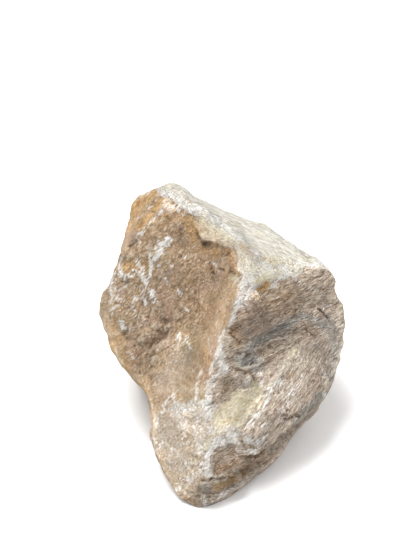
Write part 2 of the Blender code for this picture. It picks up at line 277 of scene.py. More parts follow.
# Dark soil in pits and cracks, and painted shadow: the dark lines under the ledge, the brow and
# the scar, by the toe and in the nook stand for shade.
SOIL_AND_SHADOW = dict(
    ledge=("-16,199 -13,196 -8,195 -4,196", 2.2, 0.7),
    ledge_end=("6,197 10,196", 2, 0.6),
    ledge_face=("-19,208 -15,201 -8,199", 4.5, 0.5),
    ring=("2,193 1,189 4,188 6,191", 2, 0.8),
    mark_one=("-8,179 -5,175", 2, 0.8),
    mark_two=("-1,179 2,178", 2, 0.9),
    mark_three=("7,177 11,175", 2, 0.8),
    spot_top=("-31,208 -28,209", 2, 0.9),
    spot=("-33,185 -30,189", 2, 1),
    pits=("-68,196 -64,200", 4, 0.7),
    pits_two=("-69,185 -65,187", 4, 0.6),
    pits_three=("-74,169 -66,171", 4, 0.6),
    trough_top=("-44,140 -38,139", 2.5, 0.6),
    trough=("-49,125 -43,129", 3.5, 0.8),
    trough_side=("-72,127 -64,126", 2.5, 0.6),
    low_one=("-66,108 -60,114", 3, 0.7),
    low_two=("-54,113 -50,115", 2.5, 0.8),
    low_three=("-62,106 -62,101", 2.5, 0.8),
    nook=("5,134 10,133 15,136", 2.5, 0.7),
    nook_low=("5,131 11,126 16,123", 2.5, 0.7),
    pocket=("21,108 22,108", 1.6, 1),
    pocket_left=("12,117 13,115", 2.5, 0.8),
    pocket_low=("12,104 18,101 26,103", 2.2, 0.5),
    crack=("74,149 77,144 80,142", 2, 1),
    crack_low=("64,133 70,129", 3.5, 0.6),
    brow_crack=("47,69 53,68 58,69", 2.5, 1),
    wedge=("9,91 1,87 -3,80", 4.5, 0.5),
    wedge_two=("10,88 3,79", 5, 0.6),
    scar=("-4,42 7,45", 4, 0.5),
    scar_foot=("-15,20 -7,21 1,21", 2, 0.9),
    red=("14,53 16,48 18,43", 2, 0.8),
    brow=("14,38 21,37 27,38 33,43", 2.5, 0.9),
    brow_low=("18,33 26,36", 5, 0.4),
    toe_left=("-30,9 -23,2", 3.5, 0.6),
    toe_line=("-23,11 -15,12", 2, 0.7),
    slate_side=("27,115 28,106", 1.5, 0.8),
    corner=("28,160 31,165", 4, 0.35),
)
# The cream rim that stands above the tan face's ledge.
RIM = dict(
    back=("-45,241 -36,235 -28,228 -20,221", 5, 1),
    middle=("-13,215 -6,208 3,203", 12, 1),
    front=("8,205 16,194 20,182", 12, 1),
    corner=("22,184 34,178 48,177 56,179", 9, 1),
    corner_low=("24,172 31,171", 10, 1),
)
# Broad tone: the line, its width and how much lighter or darker the stone is there. Partly the
# stone's own stains, and partly painted light and shade where its faces are lit or in shade.
TONE_LIGHT_AND_SHADE = dict(
    crust_middle=("-40,200 -20,170 -30,140", 34, -0.06),
    heel=("-40,66 -30,40 -24,22", 26, 0.16),
    heel_grey=("-43,62 -34,56", 12, -0.12),
    valley=("22,138 44,146 60,152", 20, -0.15),
    belly=("36,102 58,98 74,98", 26, 0.2),
    belly_low=("30,70 46,78 60,84", 18, 0.1),
    toe=("-18,8 0,12 14,18", 10, -0.1),
    amber=("14,86 8,76 0,64", 14, 0.3),
    rim=("-16,214 -8,208 0,204", 13, -0.18),
    ledge=("-24,214 -18,206 -18,196 -6,190 8,188", 12, -0.14),
    shoulder=("48,171 64,171 80,165", 13, 0.14),
    right_edge=("84,156 90,140 90,124", 10, 0.14),
    lower_right=("60,78 72,84", 12, -0.1),
    trough=("-40,136 -48,127 -58,114", 12, -0.08),
    under_face=("30,30 50,47 66,60 76,72", 11, -0.2),
    brow=("30,44 42,57 56,72 68,80", 8, 0.1),
    belly_left=("32,50 38,62 44,68", 8, -0.26),
    scar=("0,32 10,37", 12, 0.44),
    valley_low=("24,122 40,128 54,132", 12, -0.12),
    pocket=("8,104 16,100 28,112", 8, 0.3),
    top=("-10,226 20,212 44,196", 12, -0.04),
    waist=("-57,93 -48,88", 9, 0.35),
    knee_top=("-36,88 -20,88 -4,87", 9, 0.3),
    flecks=("-38,124 -27,126", 9, 0.28),
    ridge_side=("-15,153 -8,136 -8,118", 10, 0.22),
    crust_right=("-24,186 -14,182", 9, 0.14),
    ridge_top_right=("14,162 23,158", 7, 0.18),
    fibres=("32,156 50,158", 6, 0.22),
    right_light=("52,139 66,147 84,144", 9, 0.28),
    right_low=("84,116 82,106", 8, 0.28),
    shin=("-26,57 -14,58 0,60", 10, 0.24),
    belly_foot=("26,63 30,57", 7, 0.12),
    under_edge=("54,48 44,38 34,26", 6, 0.4),
    shoulder_line=("56,180 70,179 84,176", 5, 0.26),
    left_edge=("-70,208 -73,194", 5, 0.2),
    ridge_corner=("11,190 13,178", 6, 0.28),
    top_right=("34,202 44,192", 9, 0.1),
    a_left=("-68,166 -52,164", 16, -0.1),
    rim_front=("13,202 20,192 26,188", 8, -0.34),
    corner_right=("43,171 55,168", 8, -0.22),
    shoulder_end=("80,168 87,166", 6, -0.16),
    ridge_front=("-4,172 14,172", 7, -0.16),
    amber_top=("4,93 27,93", 5, -0.22),
    amber_foot=("6,56 16,70", 6, -0.22),
    toe_band=("-14,14 4,17 20,26", 7, -0.36),
    belly_cream=("47,104 50,112", 6, -0.08),
    left_low=("-66,138 -62,124", 9, -0.2),
    left_foot=("-66,101 -58,100", 5, -0.16),
    top_edge=("-46,240 -28,236 -6,228", 9, -0.18),
    facet_low=("-60,216 -62,204", 6, -0.1),
    pocket_foot=("30,98 37,98", 6, 0.4),
    belly_crease=("29,77 36,75", 7, 0.5),
    a_top=("-44,207 -56,217", 8, 0.26),
    a_middle=("-48,170 -34,178", 12, -0.13),
    left_bevel=("-87,150 -82,146", 6, -0.16),
    left_face=("-85,134 -77,122", 9, 0.28),
    low_right=("-24,118 -22,108", 8, -0.22),
    waist_edge=("-57,86 -53,72 -51,62", 7, 0.5),
    knuckle_top=("16,59 26,57", 5, 0.18),
    knuckle_right=("26,48 31,44", 6, -0.22),
    scar_foot=("6,26 14,29 26,33", 7, -0.26),
    heel_edge=("-47,40 -38,18 -27,10", 6, 0.38),
    under_edge_top=("55,60 64,72 74,82", 6, -0.24),
    right_foot=("85,98 80,87", 6, -0.1),
    middle_right=("50,132 66,137", 7, -0.18),
    valley_left=("20,134 32,142", 9, -0.22),
    ridge_upper=("9,150 8,139", 5, -0.18),
    right_upper=("74,164 82,150", 8, -0.18),
    right_crease=("62,126 72,130", 5, 0.14),
    a_upper=("-66,182 -50,184", 8, -0.18),
    left_side=("-79,142 -74,134", 7, -0.18),
    low_left=("-48,96 -36,90", 8, -0.16),
    heel_side=("-52,54 -47,34", 6, 0.22),
    tongue=("-30,68 -22,62", 6, 0.18),
    sole=("-22,2 -4,2", 4, -0.26),
    pocket_low=("12,102 20,101 27,104", 5, 0.4),
    chip_low=("-6,101 -3,98", 5, 0.26),
    chip=("26,107 27,103", 4, -0.24),
    corner_low=("27,164 31,161", 5, -0.28),
    ridge_left=("1,152 -1,138", 6, 0.22),
    tip_low=("-41,227 -36,225", 6, 0.34),
    block=("-15,16 -10,14", 4, -0.2),
    a_notch=("-31,203 -28,198", 5, -0.2),
    amber_side=("8,110 12,118", 6, -0.1),
    ridge_right=("16,146 17,138", 5, 0.22),
    corner_side=("22,160 32,155", 5, 0.26),
    corner_mid=("30,168 38,167", 6, -0.18),
    rim_low=("-2,197 10,198", 4, -0.2),
    heel_spot=("-40,33 -28,31", 6, -0.14),
    left_top=("-80,189 -74,186", 6, -0.4),
    knuckle_side=("14,53 21,49", 5, -0.16),
    right_belly=("62,106 73,117", 7, -0.16),
    right_side=("72,86 82,92", 7, -0.14),
    slate=("16,111 25,111", 7, -0.1),
    rim_corner=("-17,212 -16,205", 5, 0.3),
    jag=("-72,178 -66,172", 6, 0.24),
    a_low=("-56,155 -46,149", 8, -0.2),
    knee=("-26,70 -16,76", 6, 0.2),
    belly_line=("40,80 54,74", 7, 0.22),
    amber_left=("4,100 6,94 5,88", 5, -0.14),
    tongue_left=("-34,75 -30,66", 5, -0.16),
    corner_end=("70,163 76,161", 5, -0.14),
    trough_top=("-37,137 -28,133 -34,123", 6, 0.16),
    waist_mid=("-34,85 -28,82", 5, 0.2),
    scar_right=("26,34 30,32", 4, 0.18),
    right_mid=("80,130 85,125", 6, 0.16),
    middle=("-17,152 -12,148", 6, 0.14),
    rim_shade=("-8,218 -3,212", 5, -0.14),
    a_right=("-34,194 -32,188", 5, 0.16),
    rim_end=("10,202 14,198", 4, 0.14),
    shoulder_low=("48,153 58,157", 6, -0.14),
    crack_left=("62,143 68,141", 5, 0.14),
    belly_side=("22,70 28,66", 5, 0.18),
    knuckle_left=("3,58 8,56", 4, -0.16),
    sole_mid=("3,20 7,17", 5, -0.16),
    trough_mid=("-38,118 -33,117", 6, 0.2),
    trough_low=("-62,105 -54,110", 5, -0.14),
    trough_upper=("-40,148 -36,142", 5, -0.14),
    foot=("-22,28 -18,28", 4, 0.22),
)
# Soft brown stains, which are partly painted shade under the ledge and the brow and in the plum
# hollow, and the pale film of dust: the line, its width and how strongly.
UMBER_AND_SHADE = dict(
    top=("-44,214 -34,202 -26,196", 20, 0.5),
    middle=("-34,172 -20,162 -12,150", 22, 0.5),
    ledge=("-14,190 0,186 10,184", 14, 0.7),
    fibres=("24,152 42,160 56,162", 16, 0.15),
    plum=("23,96 27,89", 5, 0.7),
    wedge=("8,128 14,142", 8, 0.8),
    scar=("-4,30 6,36 14,42", 10, 0.15),
    brow=("0,27 16,30 30,38", 9, 0.8),
    trough=("-60,110 -48,125 -36,138", 12, 0.5),
    belly_olive=("50,96 53,102", 4, 0.7),
    right_two=("62,137 70,131", 4, 0.8),
    valley=("12,140 28,148 46,151", 13, 0.5),
    chip=("26,114 34,120 40,126", 8, 0.3),
    valley_low=("18,132 34,136", 8, 0.6),
)
FILM = dict(
    heel=("-46,62 -36,48 -28,30", 24, 0.75),
    low=("-44,92 -33,104 -30,118", 18, 0.55),
    left=("-78,176 -70,160 -62,146", 18, 0.1),
    belly=("34,88 48,104 58,116", 20, 0.5),
    belly_low=("44,78 56,90", 16, 0.3),
    knuckle=("-6,54 6,56 20,50", 12, 0.7),
    shoulder=("50,172 66,172 84,166", 10, 0.3),
    sole=("0,6 14,16 28,26", 5, 0.4),
    left_bevel=("-87,158 -87,146 -83,130", 5, 0.4),
    knee=("-34,73 -18,73 -8,70", 12, 1),
    shin=("-18,62 -16,44", 10, 0.9),
    waist=("-44,90 -26,88 -8,88", 8, 0.5),
    tongue=("-34,70 -26,60", 9, 1),
    toe=("-32,19 -22,11 -18,20", 9, 0.6),
    ridge=("2,150 -2,135 -6,118", 8, 0.3),
    waist_right=("-14,62 4,59", 8, 0.5),
    belly_top=("30,100 42,99", 6, 0.5),
    tip=("-41,227 -38,224", 6, 0.8),
)
# Lumps and hollows of the stone: the line, its width and how far it stands out.
FORMS = dict(
    slate_lump=("15,109 24,110", 8, 3.2),
    slate_hole=("21,108 22,109", 2, -1.6),
    slate_foot=("10,104 16,101 24,102 28,105", 3, -0.9),
    chip=("28,110 29,114", 3, 1.2),
    band=("22,120 34,126 50,132", 6, 1),
    pebble=("18,94 20,96", 4.6, 2.8),
    pebble_two=("12,99 15,100", 3.5, 1),
    plum=("23,96 26,89", 4, -1.6),
    wedge=("5,121 11,128", 6, 1),
    belly_edge=("26,69 32,77 36,85 38,92 45,102 49,106", 4, 1.2),
    belly_hollow=("49,98 53,108", 6, -1.2),
    belly_back=("46,82 58,95 66,104", 7, 1),
    toe_block=("-13,15 -5,17", 6, 1.4),
    trough_lump=("-57,125 -49,134", 6, 1.4),
    trough_lump_two=("-67,118 -60,124", 6, 1),
    trough_lump_three=("-48,112 -40,122", 7, 0.8),
    pits=("-68,195 -64,200", 5, -1),
    pits_low=("-72,168 -66,174", 5, -1),
    nook=("28,120 40,126", 4, -0.8),
    band_edge=("30,138 44,146 58,150", 3, -0.9),
    left_bevel=("-86,158 -86,146 -82,132", 5, -0.6),
    pit_one=("-44,140 -38,139", 3.5, -1.2),
    pit_two=("-47,131 -41,132", 3.5, -1.4),
    pit_three=("-49,125 -43,129", 4.5, -1.8),
    pit_four=("-57,122 -53,121", 3.5, -1.2),
    pit_five=("-55,113 -50,115", 3, -1.4),
    pit_six=("-62,107 -62,101", 3, -1.4),
    pit_seven=("-71,128 -69,127", 3, -1),
    pit_eight=("-70,119 -66,121", 3, -1),
    rim_facet=("-15,212 -4,205", 8, -1),
    rim_crest=("-26,229 -13,222 -1,213 11,202 20,196", 2.5, 0.9),
    rim_lip=("-19,211 -16,204 -8,200 2,200", 2.5, 0.7),
)
# Corrections of the outline, on stone seen edge on: the line, its width and how far it moves out.
EDGES = dict(
    back_top=("-53,245 -34,237 -18,232", 8, -0.7),
    back=("-18,233 6,224 27,216 46,205", 9, -1.4),
    back_notch=("60,195 66,190", 6, -2.4),
    shoulder=("84,173 86,169", 5, 1),
    right_notch=("87,164 88,158", 6, -1.9),
    right=("91,150 91,138", 6, 0.7),
    right_low=("89,120 88,112", 9, 2.2),
    right_foot=("85,98 78,84", 8, 0.9),
    brow=("68,68 55,54 42,40", 10, 0.8),
    sole=("36,30 18,16", 8, 0.4),
    waist=("-58,88 -54,78 -54,64", 8, -1.5),
    heel=("-53,54 -50,48", 5, 0.7),
    left_low=("-79,116 -75,109", 8, 1.6),
    left_corner=("-92,154 -92,149", 5, -1.4),
    left=("-71,214 -77,196 -81,186", 9, -1.9),
    left_upper=("-82,180 -86,168", 7, -0.8),
    left_shoulder=("-61,232 -66,227", 5, 1.1),
)
# Where the fibres turn to the belly's way.
BELLY = dict(belly=("28,62 52,84 74,104", 34, 1))
# Where the crust is worn smooth: the line, its width and how smooth.
SMOOTH = dict(
    ridge=("12,190 10,165 2,142 -6,118 -10,95", 18, 0.9),
    low=("-46,92 -30,100 -18,112 -14,96 -30,84", 20, 0.8),
    heel=("-44,70 -40,50 -34,34 -22,20", 22, 0.7),
    facet=("-52,232 -60,222 -68,206", 18, 0.8),
    amber=("14,83 10,74 4,67 -2,62", 18, 0.9),
    rim=("-17,212 -8,209 2,205", 10, 0.3),
    left_band=("-84,146 -79,126 -69,110 -58,96", 8, 0.9),
    scar=("0,33 9,38", 10, 0.85),
    low_right=("-34,84 -20,100 -14,120", 22, 0.8),
    corner=("24,180 40,176 52,174", 12, 0.6),
    belly=("34,68 50,84 64,100", 22, 0.5),
)
# Lines that the skin drops away from on their right, walking from their first point: the line, how
# deep the drop is, below 0 for a rise, and how far it reaches.
STEPS = dict(
    rim_ledge=("-19,214 -17,208 -16,202 -11,199 -4,198 3,197", 1.7, 12),
    rim_front=("-6,198 3,196 9,196 13,188 12,180 16,173", 0.9, 8),
    brow=("13,39 21,38 27,39 33,44 41,50 48,56 59,66 70,75 80,86", 2.4, 10),
    facet_edge=("-45,238 -50,229 -58,221 -63,214 -68,200", -1.2, 7),
    facet_edge_two=("-41,228 -45,221 -52,213 -58,205 -65,200 -71,191", -1, 7),
    scar=("-8,23 -8,35 -5,43 -1,46 7,48 14,46", 2.2, 12),
)
# Cracks: their line, width and depth.
CRACKS = dict(
    right=("73,149 77,145 80,142", 2.4, 2.2),
    right_two=("63,133 67,130 71,128", 2.4, 1.4),
    brow=("47,66 50,66 54,68 58,68", 2.2, 1.8),
    red=("12,56 14,52 18,47", 2.4, 1.8),
    red_low=("15,43 19,40", 2.2, 1.4),
    mark_one=("-8,179 -5,175", 2.6, 1.2),
    mark_two=("-2,179 2,178", 2.6, 1.4),
    mark_three=("7,178 11,175", 2.4, 1.2),
    spot=("-33,185 -30,188", 2.8, 1.8),
    spot_top=("-31,208 -28,209", 2.8, 1.4),
    ledge_shadow=("-16,199 -13,196 -8,194 -4,195", 2.4, 1),
    nook=("4,134 10,133 15,136", 2.4, 1.4),
    nook_low=("4,131 11,126 16,123", 2.4, 1.5),
    scar_foot=("-15,20 -9,21 -2,22 10,22", 2.6, 1.8),
    toe=("-26,13 -22,9 -14,8 -5,8", 2.6, 1.6),
    keel=("27,34 29,31", 2.2, 1.2),
    block_side=("-16,19 -15,14 -13,11", 2.4, 1.4),
    band=("24,121 34,129 46,137 59,146", 2.2, 1),
)
STAINS_AND_SHADE = dict(
    chalk=CHALK, rust=RUST, amber=AMBER, slate=SLATE, soil_and_shadow=SOIL_AND_SHADOW, umber_and_shade=UMBER_AND_SHADE, film=FILM
)
# Patches on the sides that no stroke reaches: the stain, their size and the shift of their noise.
HIDDEN_PATCHES = (("chalk", 11, 31), ("rust", 20, 37), ("slate", 17, 41), ("film", 24, 43))
# What the material reads as attributes of the mesh.
MASKS = (*STAINS_AND_SHADE, "crust", "cream", "under", "worn", "hollow_shade", "tone_light_and_shade", "smooth", "belly")


def smooth_step(values, low, high):
    level = np.clip((values - low) / (high - low), 0, 1)
    return level * level * (3 - 2 * level)


def field(points, size, octaves=1, shift=0.0):
    """Noise at each point, about -1 to 1, with features of about that size in mm."""
    spots = (points / size + shift).tolist()
    if octaves == 1:
        return np.array([noise.noise(spot) for spot in spots])
    return np.array([noise.fractal(spot, 1.0, 2.0, octaves) for spot in spots])


def facets(points, size, depth, scatter):
    """Flat fracture facets: each cell of the pattern is a small tilted plane."""
    relief = []
    for spot in (points / size).tolist():
        spot = Vector(spot)
        cell = noise.voronoi(spot)[1][0]
        relief.append(noise.noise_vector(cell * scatter).dot(spot - cell))
    return 2 * depth * np.array(relief)


def broken(points, breaks):
    """Fracture facets of several sizes, one upon the other."""
    return sum(facets(points, *sizes) for sizes in breaks)


def turned(points, axis):
    """The points in a frame whose third direction is the axis."""
    axis = np.array(axis)
    first = np.cross(axis, (0.3, 0.9, 0.1))
    first /= np.linalg.norm(first)
    return points @ np.array((first, np.cross(axis, first), axis)).T


def as_drawn(vectors):
    """(across, up, out) of directions or of places at rest."""
    sine, cosine = math.sin(PITCH), math.cos(PITCH)
    x, y, z = vectors.T
    return np.stack((x, y * sine + z * cosine, z * sine - y * cosine), axis=1)


def as_seen(points):
    """Where the camera sees each place, as a drawn point in the plane that it looks at."""
    seen = as_drawn(points)
    nearer = DISTANCE / (DISTANCE - seen[:, 2])
    return (seen[:, :2] - LOOK_AT) * nearer[:, None] + LOOK_AT


def jittered(seen, points, reach, size, octaves):
    """The seen places pushed about by noise, which gives what is drawn on them ragged edges."""
    push = [field(points, size, octaves, shift) for shift in (1.0, 8.0)]
    return seen + reach * np.stack(push, axis=1)


def beside(spots, line):
    """How far each spot is from a line, positive on its right, and from the line's nearer end."""
    nearest = np.full(len(spots), 1e9)
    signed = nearest.copy()
    points = np.array([point.split(",") for point in line.split()], float)
    for start, end in zip(points, points[1:]):
        run = end - start
        along = np.clip((spots - start) @ run / (run @ run), 0, 1)
        away = spots - start - along[:, None] * run
        reach = np.hypot(away[:, 0], away[:, 1])
        right = np.where(run[0] * away[:, 1] - run[1] * away[:, 0] < 0, 1.0, -1.0)
        closer = reach < nearest
        signed = np.where(closer, reach * right, signed)
        nearest = np.where(closer, reach, nearest)
    ends = np.minimum(*(np.hypot(*(spots - point).T) for point in (points[0], points[-1])))
    return signed, ends


def stroke_level(spots, line, width):
    """1 along a line, about 0.6 half a width away and 0 a whole width away."""
    return np.clip(1.25 * (1 - np.abs(beside(spots, line)[0]) / width), 0, 1)


def soft_level(spots, line, width):
    """The same, with soft shoulders."""
    return smooth_step(stroke_level(spots, line, width), 0, 1)


def painted(spots, strokes):
    """How strongly the strokes cover each spot, 0 to 1."""
    level = np.zeros(len(spots))
    for line, width, cover in strokes.values():
        level = np.maximum(level, cover * stroke_level(spots, line, width))
    return level


def spread(values, edges, rounds):
    """Averages each vertex's value with its neighbours', so many times."""
    first, second = edges.T
    count = 1 + np.bincount(edges.ravel(), minlength=len(values))
    for _ in range(rounds):
        total = values.copy()
        for column in range(values.shape[1]):
            total[:, column] += np.bincount(first, values[second, column], len(values))
            total[:, column] += np.bincount(second, values[first, column], len(values))
        values = total / count[:, None]
    return values


def read_vectors(collection, name, count):
    values = np.empty(count * 3)
    collection.foreach_get(name, values)
    return values.reshape(-1, 3)


def normals_of(mesh, places):
    """Moves the mesh's vertices to those places and returns its normals there."""
    mesh.vertices.foreach_set("co", (places * MM).ravel())
    mesh.update()
    return read_vectors(mesh.vertex_normals, "vector", len(places))


def fine_skin(node):
    """A finely remeshed copy of the node."""
    skin = bpy.data.objects.new("calcite_stone", node.data.copy())
    bpy.context.scene.collection.objects.link(skin)
    remesh = skin.modifiers.new("grain", "REMESH")
    remesh.mode = "VOXEL"
    remesh.voxel_size = VOXEL
    graph = bpy.context.evaluated_depsgraph_get()
    mesh = bpy.data.meshes.new_from_object(skin.evaluated_get(graph))
    skin.modifiers.clear()
    skin.data = mesh
    return skin


def kinds_of_stone(normals, points):
    """How much of each kind of stone shows, from the way that the eased skin looks; the under kind
    is painted shade on faces that look down.
    """
    wobble = np.stack([field(points, 26.0, 3, shift) for shift in (0.0, 9.1, 17.3)], axis=1)
    looks = normals + 0.16 * wobble
    looks /= np.linalg.norm(looks, axis=1)[:, None]
    share = {"crust": 0, "cream": 0, "fibre": 0, "under": 0}
    total = 0
    for kind, direction in FACES:
        direction = np.array(direction) / np.linalg.norm(direction)
        weight = np.exp(FACE_SHARPNESS * (looks @ direction))
        share[kind] = share[kind] + weight
        total = total + weight
    return {kind: weight / total for kind, weight in share.items()}


def masks_of(points, seen, front, kinds):
    """How strongly each stain, painted shadow and kind of wear shows at each point, and how much
    lighter or darker the stone is made, partly as painted light and shade.
    """
    spots = jittered(seen, points, 0.8, 3.6, 3)
    masks = {name: painted(spots, lines) * front for name, lines in STAINS_AND_SHADE.items()}
    masks["chalk"] *= 1 + 0.4 * field(points, 7.0, 2, 13.0)
    drawn_out = turned(points, FIBRES) / (1, 1, 2.8)
    for name, size, shift in HIDDEN_PATCHES:
        patches = smooth_step(field(drawn_out, size, 4, shift), 0.1, 0.8) * (1 - kinds["cream"])
        masks[name] = np.maximum(masks[name], 0.9 * patches * (1 - front))
    masks["chalk"] *= 1 - 0.8 * masks["soil_and_shadow"]
    masks["amber"] *= 1 - masks["slate"]
    masks["tone_light_and_shade"] = sum(
        amount * soft_level(seen, line, width) * front for line, width, amount in TONE_LIGHT_AND_SHADE.values()
    )
    masks["smooth"] = painted(spots, SMOOTH) * front
    masks["belly"] = smooth_step(painted(seen, BELLY), 0.1, 0.8)
    return masks


def relief_of(points, kinds, masks, seen, jagged, front, edge_on):
    """How far the skin stands out at each point, in mm."""
    bent = points + 0.8 * field(points, 9.0)[:, None]
    relief = 0
    torn = np.clip(1 - kinds["crust"] - kinds["cream"], 0, 1)
    ways = (
        (FIBRES, torn * (1 - masks["belly"]), 2.4),
        (BELLY_FIBRES, 0.7 * torn * masks["belly"], 3.4),
        (TOP_FIBRES, kinds["cream"], 6.0),
    )
    for axis, share, stretch in ways:
        along = turned(bent, axis)
        fibres = sum(
            height * field(along / (across, across, length), 1.0)
            for across, length, height in FIBRE_RELIEF
        )
        relief += (fibres + broken(along / (1, 1, stretch), FIBRE_BREAKS)) * share

    along = turned(points, CRUST_GRAIN) / (1, 1, 2)
    crust = field(along, 6.5, 5, 2.0) + 0.5 * field(along, 2.2, 2, 4.0)
    crust -= 2.0 * np.maximum(field(along, 3.2, 2, 7.0) - 0.26, 0)
    relief += (crust + broken(along, CRUST_BREAKS)) * kinds["crust"]
    crumbs = 0.4 + 0.6 * smooth_step(masks["chalk"], 0.2, 0.6)
    relief += 0.25 * field(along / (1.8, 1.8, 2.2), 1.0, 2, 11.0) * crumbs
    relief *= (1 - 0.75 * masks["smooth"]) * (1 - 0.6 * edge_on)
    relief += broken(bent, HIDDEN_BREAKS) * (1 - front) * (1 - edge_on)

    for line, width, height in FORMS.values():
        relief += height * smooth_step(stroke_level(jagged, line, width), 0.1, 0.7) * front
    for line, width, shift in EDGES.values():
        relief += shift * soft_level(seen, line, width) * edge_on
    for line, depth, reach in STEPS.values():
        side, to_end = beside(jagged, line)
        drop = depth * np.clip(1 - side / reach, 0, 1) ** 1.6 * smooth_step(side, -0.8, 0.9)
        relief -= drop * np.clip(to_end / 9, 0, 1) * front
    warp = 0.8 * field(points, 5.0, 3, 5.0)
    gaping = smooth_step(field(points, 4.0, 2, 21.0), 0.25, -0.2)
    for line, width, depth in CRACKS.values():
        side = np.abs(beside(seen, line)[0] + warp)
        relief -= depth * (1 - smooth_step(side, 0.0, width / 2)) * front * gaping
    return relief + SWELL


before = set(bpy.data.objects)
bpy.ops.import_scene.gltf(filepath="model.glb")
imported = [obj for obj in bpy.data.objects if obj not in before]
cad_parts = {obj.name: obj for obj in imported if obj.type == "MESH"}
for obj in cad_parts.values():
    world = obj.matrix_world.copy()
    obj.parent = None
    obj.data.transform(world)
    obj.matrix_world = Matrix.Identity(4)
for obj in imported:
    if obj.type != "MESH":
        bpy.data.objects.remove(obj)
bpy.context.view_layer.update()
noise.seed_set(SEED)

skin = fine_skin(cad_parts[NODE])
mesh = skin.data
places = read_vectors(mesh.vertices, "co", len(mesh.vertices)) / MM
edges = np.empty(len(mesh.edges) * 2, int)
mesh.edges.foreach_get("vertices", edges)
edges = edges.reshape(-1, 2)

# The block's facets are eased, except near the foot, which keeps its edge.
footing = places[:, 2] < FOOTING
low = smooth_step(places[:, 2], 7.0, 1.0)[:, None]
places = low * places + (1 - low) * spread(places, edges, EASE_ROUNDS)
normals = normals_of(mesh, places)

# Which of the stone the camera sees, and which of it edge on.
points = places - ORIGIN
seen = as_seen(points)
facing = as_drawn(normals)[:, 2]
front = smooth_step(facing, 0.02, 0.25)
edge_on = smooth_step(np.abs(facing), 0.8, 0.35)

# What the stone is made of. The rim is cream whichever way it looks.
broad = spread(normals, edges, BROAD_ROUNDS)
broad /= np.linalg.norm(broad, axis=1)[:, None]
kinds = kinds_of_stone(broad, points)
masks = masks_of(points, seen, front, kinds)
jagged = jittered(seen, points, 1.5, 5.0, 4)
rim = smooth_step(painted(jagged, RIM) * front, 0.36, 0.54)
kinds["crust"] *= 1 - rim
kinds["cream"] = np.maximum(kinds["cream"], rim)

# The relief, which leaves the foot flat on the floor.
relief = relief_of(points, kinds, masks, seen, jagged, front, edge_on)
lift = smooth_step(places[:, 2], 0.0, 5.0)
places = places + normals * (relief * lift)[:, None]
places[:, 2] = np.where(footing, 0.0, np.maximum(places[:, 2], 0.0))
normals = normals_of(mesh, places)

# Edges and crests are worn, and hollows are darkened as painted shade.
near_bend = ((spread(places, edges, NEAR_ROUNDS) - places) * normals).sum(axis=1)
wide_bend = ((spread(places, edges, WIDE_ROUNDS) - places) * normals).sum(axis=1)
masks["worn"] = smooth_step(-near_bend, 0.10, 0.55) * 0.5 + smooth_step(-wide_bend, 0.3, 1.5) * 0.5
masks["hollow_shade"] = smooth_step(near_bend, 0.08, 0.5) * 0.5 + smooth_step(wide_bend, 0.2, 1.4) * 0.5
masks.update(kinds)
for name in MASKS:
    attribute = mesh.attributes.new(name, "FLOAT", "POINT")
    attribute.data.foreach_set("value", masks[name].astype(np.float32))
mesh.shade_smooth()


class Nodes:
    """Short ways to build a material's nodes. A value is a number, a colour or a node's output."""

    def __init__(self, material):
        material.use_nodes = True
        self.tree = material.node_tree
        self.shader = self.tree.nodes["Principled BSDF"]

    def add(self, kind, inputs=(), **settings):
        made = self.tree.nodes.new(kind)
        for name, value in settings.items():
            setattr(made, name, value)
        for socket, value in dict(inputs).items():
            if isinstance(value, bpy.types.NodeSocket):
                self.tree.links.new(value, made.inputs[socket])
            else:
                made.inputs[socket].default_value = value
        return made

    def mask(self, name):
        return self.add("ShaderNodeAttribute", attribute_name=name).outputs["Fac"]

    def math(self, operation, *values):
        return self.add("ShaderNodeMath", dict(enumerate(values)), operation=operation).outputs[0]

    def times(self, first, second):
        return self.math("MULTIPLY", first, second)

    def scaled(self, vector, factor):
        inputs = {0: vector, "Scale": factor}
        return self.add("ShaderNodeVectorMath", inputs, operation="SCALE").outputs["Vector"]

    def noise(self, vector, size, detail=2.0, roughness=0.5, distortion=0.0):
        inputs = {"Vector": vector, "Scale": 1 / size, "Detail": detail, "Roughness": roughness}
        return self.add("ShaderNodeTexNoise", {**inputs, "Distortion": distortion}).outputs["Fac"]

    def cells(self, vector):
        """How far each place is from its cell's middle, and the cell's own random value."""
        made = self.add("ShaderNodeTexVoronoi", {"Vector": vector, "Scale": 1.0})
        return made.outputs["Distance"], made.outputs["Color"]

    def warped(self, vector, size, reach):
        """The vector pushed about by noise of that size, half the reach each way at most."""
        push = self.add("ShaderNodeTexNoise", {"Vector": vector, "Scale": 1 / size, "Detail": 3.0})
        inputs = {0: push.outputs["Color"], 1: (reach,) * 3, 2: vector}
        return self.add("ShaderNodeVectorMath", inputs, operation="MULTIPLY_ADD").outputs["Vector"]

    def remap(self, value, low, high, to_low=0.0, to_high=1.0):
        inputs = {"Value": value, "From Min": low, "From Max": high}
        inputs |= {"To Min": to_low, "To Max": to_high}
        made = self.add("ShaderNodeMapRange", inputs, interpolation_type="SMOOTHSTEP")
        return made.outputs["Result"]

    def mix(self, share, first, second):
        inputs = {"Factor": share, 6: first, 7: second}
        return self.add("ShaderNodeMix", inputs, data_type="RGBA").outputs[2]

    def turned(self, vector, axis, sizes):
        """The vector in a frame whose third direction is the axis, over those sizes."""
        turn = Vector(axis).to_track_quat("Z", "Y").to_euler()
        inputs = {"Vector": vector, "Rotation": turn, "Scale": sizes}
        return self.add("ShaderNodeMapping", inputs, vector_type="TEXTURE").outputs["Vector"]

    def torn(self, name, breaks, reach, low, high):
        """A mask whose edges the breaks pattern, 0 to 1, tears up."""
        moved = self.math("MULTIPLY_ADD", breaks, reach, -reach / 2)
        return self.remap(self.math("ADD", self.mask(name), moved), low, high)


